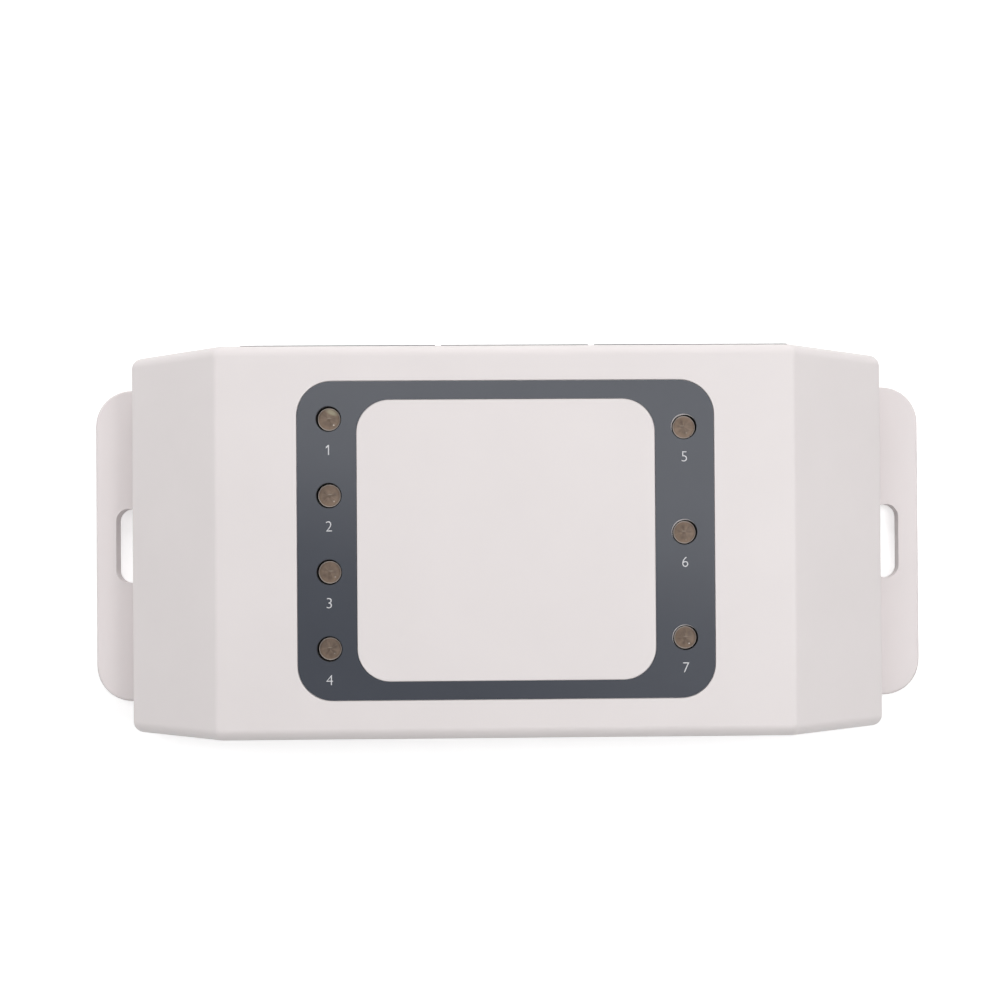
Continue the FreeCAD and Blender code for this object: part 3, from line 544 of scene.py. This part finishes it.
class AddNumerals(bpy.types.Operator):
    """Prints a plain numeral on the film below each lens"""
    bl_idname = "door_module.add_numerals"
    bl_label = "Printed numerals"

    def execute(self, context):
        panel = settings().panel
        ink, tree, shader = make_finish("numeral_ink", panel.print_colour, ink_roughness)
        mottle(tree, shader, noise(tree, place_of(tree), ink_tone_pitch), panel.print_colour, ink_spread)
        film_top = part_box("indicator_overlay")[1].z
        for i, (lens_x, lens_y, _) in enumerate(lens_centres()):
            drop = panel.numeral_drop_left if i < left_lenses else panel.numeral_drop_right
            deselect()
            bpy.ops.object.text_add(location=(0, 0, 0))
            numeral = bpy.context.object
            numeral.name = f"numeral_{i + 1}"
            text = numeral.data
            text.body = str(i + 1)
            text.align_x = "CENTER"
            text.size = panel.numeral_height / numeral_share
            text.offset = -stroke_thinning * text.size
            text.resolution_u = curve_points
            text.extrude = panel.ink_height / 2
            bpy.ops.object.convert(target="MESH")
            numeral = bpy.context.object
            foot = min(v.co.y for v in numeral.data.vertices)
            numeral.location = (lens_x, lens_y - drop - panel.numeral_height / 2 - foot,
                                film_top + panel.ink_height / 2 - ink_sink)
            bpy.ops.object.transform_apply(location=True, rotation=True, scale=True)
            if i == 0:
                self.add_flag(numeral, panel)
            numeral.data.materials.clear()
            numeral.data.materials.append(ink)
            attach(numeral, "case")
        return {"FINISHED"}

    def add_flag(self, numeral, panel):
        """Extrudes a slanted flag from the top of the numeral 1, which is a plain bar in this typeface."""
        top = max(v.co.y for v in numeral.data.vertices)
        cut = top - flag_height * panel.numeral_height
        bpy.ops.object.mode_set(mode="EDIT")
        bpy.ops.mesh.select_mode(type="FACE")
        bpy.ops.mesh.select_all(action="SELECT")
        bpy.ops.mesh.bisect(plane_co=(0, cut, 0), plane_no=(0, 1, 0))
        bpy.ops.mesh.select_all(action="DESELECT")
        bpy.ops.object.mode_set(mode="OBJECT")
        for face in numeral.data.polygons:
            looks_left = face.normal.x < -0.9
            face.select = looks_left and face.center.y > cut
        bpy.ops.object.mode_set(mode="EDIT")
        bpy.ops.mesh.extrude_region_move(TRANSFORM_OT_translate={
            "value": (-flag_aside * panel.numeral_height, -flag_down * panel.numeral_height, 0)})
        bpy.ops.object.mode_set(mode="OBJECT")


class DressLenses(bpy.types.Operator):
    """Gives the lenses their smoky clear plastic, with the wire and chip below seen through it, and paints
    light on them: a lighter inner ring, a bright highlight at the rim, a pale reflection in the first lens,
    a highlight speck and a dark shade at the edge
    """
    bl_idname = "door_module.dress_lenses"
    bl_label = "Lenses"

    def execute(self, context):
        lens = settings().lens
        for i, (centre, marks) in enumerate(zip(lens_centres(), lens_marks)):
            tone, wire, chip, highlight_speck, highlight_strength = marks
            name = f"light_pipe_{i + 1}"
            colour = shade(lens.body_colour, tone)
            finish, tree, shader = make_finish(f"{name}_plastic", colour, lens.roughness)
            shader.inputs["Specular IOR Level"].default_value = lens_specular
            body = mottle(tree, shader, self.rays(tree, centre), colour, lens_spread)
            away = distance(tree, centre)
            # Painted light and shade over the lens's tone: a lighter inner ring, a pale reflection in the
            # first lens, the chip and wire below, a highlight speck, a bright highlight at the rim and shade
            # at the edge
            layers = [(ring(tree, away, lens.radius, *inner_light_ring), shade(colour, inner_light_tone))]
            # The pale cast in the first lens is a painted reflection of the lights
            if i == 0:
                layers.append((spot(tree, beside(centre, cast_reflection_place), *cast_reflection_oval), lens.cast_reflection_colour))
            layers += [
                (spot(tree, beside(centre, chip), *chip_oval), shade(colour, chip_tone)),
                (spot(tree, beside(centre, wire), *wire_oval), lens.wire_colour),
                # A painted highlight: the bright speck off the middle
                (spot(tree, beside(centre, highlight_speck), *speck_highlight_oval, highlight_strength), lens.speck_highlight_colour),
                (ring(tree, away, lens.radius, *rim_highlight_ring), lens.rim_highlight_colour),
                (ring(tree, away, lens.radius, *edge_shade_ring), shade(colour, edge_shade_tone)),
            ]
            for shape, paint in layers:
                body = mix(tree, shader, shape, body, paint)
            dress(finish, name)
        return {"FINISHED"}

    def rays(self, tree, centre):
        """Noise that changes with the direction from the lens's middle, and only slowly outwards."""
        place = place_of(tree, centre, (1.0, 1.0, 0.0))
        direction = add_node(tree, "ShaderNodeVectorMath", operation="NORMALIZE")
        tree.links.new(place, direction.inputs[0])
        reach = add_node(tree, "ShaderNodeVectorMath", operation="SCALE")
        reach.inputs["Scale"].default_value = ray_change
        tree.links.new(place, reach.inputs[0])
        both = add_node(tree, "ShaderNodeVectorMath", operation="ADD")
        tree.links.new(direction.outputs["Vector"], both.inputs[0])
        tree.links.new(reach.outputs["Vector"], both.inputs[1])
        apart = add_node(tree, "ShaderNodeVectorMath", operation="ADD")
        apart.inputs[1].default_value = (centre[1] / mm, 0.0, 0.0)
        tree.links.new(both.outputs["Vector"], apart.inputs[0])
        return noise(tree, apart.outputs["Vector"], ray_pitch, detail=3.0)


class DressTerminals(bpy.types.Operator):
    """Gives plugs, headers, clamps and contacts their black plastic and plated metal"""
    bl_idname = "door_module.dress_terminals"
    bl_label = "Terminals"

    def execute(self, context):
        terminals = settings().terminals
        black = moulded_plastic("terminal_plastic", terminals.plastic_colour, roughness=0.5,
                                grain_size=0.2 * mm, grain_depth=0.01 * mm, spread=0.15)
        steel = plated_metal("clamp_steel", terminals.steel_colour, roughness=0.3, pitch=0.15 * mm,
                             depth=0.003 * mm)
        tin = plated_metal("contact_tin_plate", terminals.tin_colour, roughness=0.26, pitch=0.1 * mm,
                           depth=0.002 * mm)
        dress(black, *numbered("terminal_plug", plug_count), *numbered("terminal_header", plug_count))
        dress(steel, *numbered("clamp_screw", pole_count), *numbered("clamp_cage", pole_count),
              "case_screws", "board_screws")
        dress(tin, *numbered("plug_contacts", plug_count), "header_pins")
        return {"FINISHED"}


class DressSwitch(bpy.types.Operator):
    """Gives the tamper switch, its plunger and its spring their finishes"""
    bl_idname = "door_module.dress_switch"
    bl_label = "Tamper switch"

    def execute(self, context):
        dress(moulded_plastic("switch_plastic", (0.022, 0.022, 0.022), roughness=0.45, grain_size=0.15 * mm,
                              grain_depth=0.006 * mm, spread=0.1), "tamper_switch_body")
        dress(moulded_plastic("plunger_plastic", (0.72, 0.70, 0.67), roughness=0.35, grain_size=0.3 * mm,
                              grain_depth=0.003 * mm), "tamper_plunger")
        dress(plated_metal("spring_wire", (0.56, 0.56, 0.56), roughness=0.24, pitch=0.05 * mm,
                           depth=0.001 * mm), "tamper_spring")
        return {"FINISHED"}


class DressBoard(bpy.types.Operator):
    """Gives the board and its small parts their finishes"""
    bl_idname = "door_module.dress_board"
    bl_label = "Board and parts"

    def execute(self, context):
        board = settings().board
        finish, tree, shader = make_finish("solder_mask", board.mask_colour, mask_roughness, coat=mask_coat,
                                           coat_roughness=mask_coat_roughness)
        place = place_of(tree)
        cells = add_node(tree, "ShaderNodeTexVoronoi", feature="DISTANCE_TO_EDGE", distance="MANHATTAN")
        cells.inputs["Scale"].default_value = 1.0 / track_pitch
        tree.links.new(place, cells.inputs["Vector"])
        tracks = span(tree, cells.outputs["Distance"], *track_edge, 1.0, 0.0)
        tree.links.new(ramp(tree, tracks, [(0.0, board.mask_colour), (1.0, board.track_colour)]),
                       shader.inputs["Base Color"])
        bump(tree, shader, tracks, track_height)
        dress(finish, "main_board")
        dress(moulded_plastic("chip_epoxy", (0.02, 0.02, 0.021), roughness=0.55, grain_size=0.08 * mm,
                              grain_depth=0.004 * mm, spread=0.12),
              "microcontroller", "bus_transceiver", "voltage_regulator")
        dress(moulded_plastic("capacitor_sleeving", board.sleeve_colour, roughness=0.3, grain_size=0.4 * mm,
                              grain_depth=0.003 * mm, spread=0.1), "filter_capacitor")
        dress(moulded_plastic("inductor_ferrite", (0.09, 0.09, 0.092), roughness=0.6, grain_size=0.12 * mm,
                              grain_depth=0.01 * mm, spread=0.15), "power_inductor")
        dress(moulded_plastic("led_plastic", (0.66, 0.58, 0.36), roughness=0.4, grain_size=0.2 * mm,
                              grain_depth=0.003 * mm, spread=0.05), "indicator_leds")
        return {"FINISHED"}


class DressRelay(bpy.types.Operator):
    """Gives the relay's base, cover, iron, winding and contacts their finishes"""
    bl_idname = "door_module.dress_relay"
    bl_label = "Relay"

    def execute(self, context):
        board = settings().board
        terminals = settings().terminals
        dress(moulded_plastic("relay_plastic", (0.02, 0.02, 0.02), roughness=0.3, grain_size=0.3 * mm,
                              grain_depth=0.004 * mm, spread=0.1), "relay_base", "relay_cover")
        dress(plated_metal("relay_iron_plate", (0.52, 0.52, 0.51), roughness=0.36, pitch=0.2 * mm,
                           depth=0.004 * mm), "relay_yoke", "relay_armature")
        dress(plated_metal("relay_contact_tin", terminals.tin_colour, roughness=0.25, pitch=0.1 * mm,
                           depth=0.002 * mm), "relay_contacts")
        finish, tree, shader = make_finish("enamelled_winding", board.copper_colour, winding_roughness,
                                           metallic=1.0)
        wave = add_node(tree, "ShaderNodeTexWave", wave_type="BANDS", bands_direction="Z")
        wave.inputs["Scale"].default_value = wave_period / turn_pitch
        tree.links.new(place_of(tree), wave.inputs["Vector"])
        bump(tree, shader, wave.outputs["Fac"], turn_depth)
        # Painted shade: the grooves between the turns are darker than the wire
        stops = [(0.0, shade(board.copper_colour, groove_shade_tone)), (wire_from, board.copper_colour)]
        tree.links.new(ramp(tree, wave.outputs["Fac"], stops), shader.inputs["Base Color"])
        dress(finish, "relay_coil")
        return {"FINISHED"}


# Light, surroundings, floor and camera

def soft_light(name, place, rotation, size_x, size_y, strength):
    deselect()
    bpy.ops.object.light_add(type="AREA", location=place, rotation=rotation)
    light = bpy.context.object
    light.name = name
    light.data.shape = "RECTANGLE"
    light.data.size = size_x
    light.data.size_y = size_y
    light.data.energy = strength
    light.visible_camera = False
    return light


def ceiling_light(name, low_x, high_x, low_y, high_y, strength):
    """A flat light in the ceiling, given by its ranges along the ceiling's two axes."""
    along, across = (low_x + high_x) / 2, (low_y + high_y) / 2
    place = (ceiling_middle[0] + along * math.cos(ceiling_turn) - across * math.sin(ceiling_turn),
             ceiling_middle[1] + along * math.sin(ceiling_turn) + across * math.cos(ceiling_turn),
             ceiling_height)
    soft_light(name, place, (0, 0, ceiling_turn), high_x - low_x, high_y - low_y, strength)


def leaning_light(name, direction, away, height, width, length, strength):
    """A light beside the object, turned to face it, that leaves no glare on the film in low views."""
    turn = math.radians(direction)
    place = (away * math.cos(turn), away * math.sin(turn), height)
    light = soft_light(name, place, (0, math.atan2(away, height), turn), length, width, strength)
    light.visible_glossy = False


def graded_surroundings(below, horizon, zenith):
    """A white world, brightest at eye level."""
    world = bpy.data.worlds.new("surroundings")
    world.use_nodes = True
    tree = world.node_tree
    background = tree.nodes["Background"]
    coordinates = add_node(tree, "ShaderNodeTexCoord")
    parts = add_node(tree, "ShaderNodeSeparateXYZ")
    tree.links.new(coordinates.outputs["Generated"], parts.inputs["Vector"])
    height = span(tree, parts.outputs["Z"], -1.0, 1.0, 0.0, 1.0)
    grades = [(grade_below, (below,) * 3), (grade_level, (horizon,) * 3), (grade_above, (zenith,) * 3)]
    tree.links.new(ramp(tree, height, grades), background.inputs["Color"])
    return world


class SetStage(bpy.types.Operator):
    """Lays the pale floor, hangs the soft lights and sets the camera"""
    bl_idname = "door_module.set_stage"
    bl_label = "Stage"

    def execute(self, context):
        stage = settings().stage
        scene = bpy.context.scene
        deselect()
        bpy.ops.mesh.primitive_circle_add(vertices=floor_sides, radius=floor_radius, fill_type="NGON",
                                          location=(0, 0, 0))
        floor = bpy.context.object
        floor.name = "floor"
        finish, tree, shader = make_finish("floor_paper", stage.floor_colour, floor_roughness)
        tone = noise(tree, place_of(tree), floor_tone_pitch)
        mottle(tree, shader, tone, stage.floor_colour, floor_spread)
        shader.inputs["Emission Color"].default_value = (1.0, 1.0, 1.0, 1.0)
        away = distance(tree, (0.0, 0.0, 0.0))
        glow = span(tree, away, glow_near, glow_far, stage.floor_glow, stage.far_glow)
        tree.links.new(glow, shader.inputs["Emission Strength"])
        floor.data.materials.append(finish)
        floor.visible_diffuse = False

        scene.world = graded_surroundings(stage.below, stage.horizon, stage.zenith)
        for name, (*ranges, strength) in ceiling_lights.items():
            ceiling_light(name, *ranges, strength * stage.lights)
        for name, (*place, strength) in leaning_lights.items():
            leaning_light(name, *place, strength * stage.lights)

        bpy.ops.object.camera_add(location=(stage.camera_x, -stage.camera_back, stage.camera_height))
        camera = bpy.context.object
        camera.name = "camera"
        camera.rotation_euler = [math.radians(turn) for turn in camera_turns]
        camera.data.sensor_width = sensor_width
        camera.data.lens = stage.focal_length
        camera.data.shift_x, camera.data.shift_y = camera_shift
        camera.data.clip_start = camera_near
        camera.data.clip_end = camera_far
        scene.camera = camera
        scene.view_settings.view_transform = "Standard"
        return {"FINISHED"}


operators = (DressCase, DressPanel, AddNumerals, DressLenses, DressTerminals, DressSwitch, DressBoard,
             DressRelay, SetStage)


class DoorModulePanel(bpy.types.Panel):
    bl_idname = "VIEW3D_PT_door_module"
    bl_label = "Door control module"
    bl_space_type = "VIEW_3D"
    bl_region_type = "UI"
    bl_category = "Door module"

    def draw(self, context):
        for operator in operators:
            self.layout.operator(operator.bl_idname)


classes = settings_classes + (DoorModule,) + operators + (DoorModulePanel,)


def register():
    for cls in classes:
        bpy.utils.register_class(cls)
    bpy.types.Scene.door_module = PointerProperty(type=DoorModule)


def unregister():
    del bpy.types.Scene.door_module
    for cls in reversed(classes):
        bpy.utils.unregister_class(cls)


def main():
    register()
    bpy.ops.door_module.dress_case()
    bpy.ops.door_module.dress_panel()
    bpy.ops.door_module.add_numerals()
    bpy.ops.door_module.dress_lenses()
    bpy.ops.door_module.dress_terminals()
    bpy.ops.door_module.dress_switch()
    bpy.ops.door_module.dress_board()
    bpy.ops.door_module.dress_relay()
    bpy.ops.door_module.set_stage()


if __name__ == "__main__":
    main()
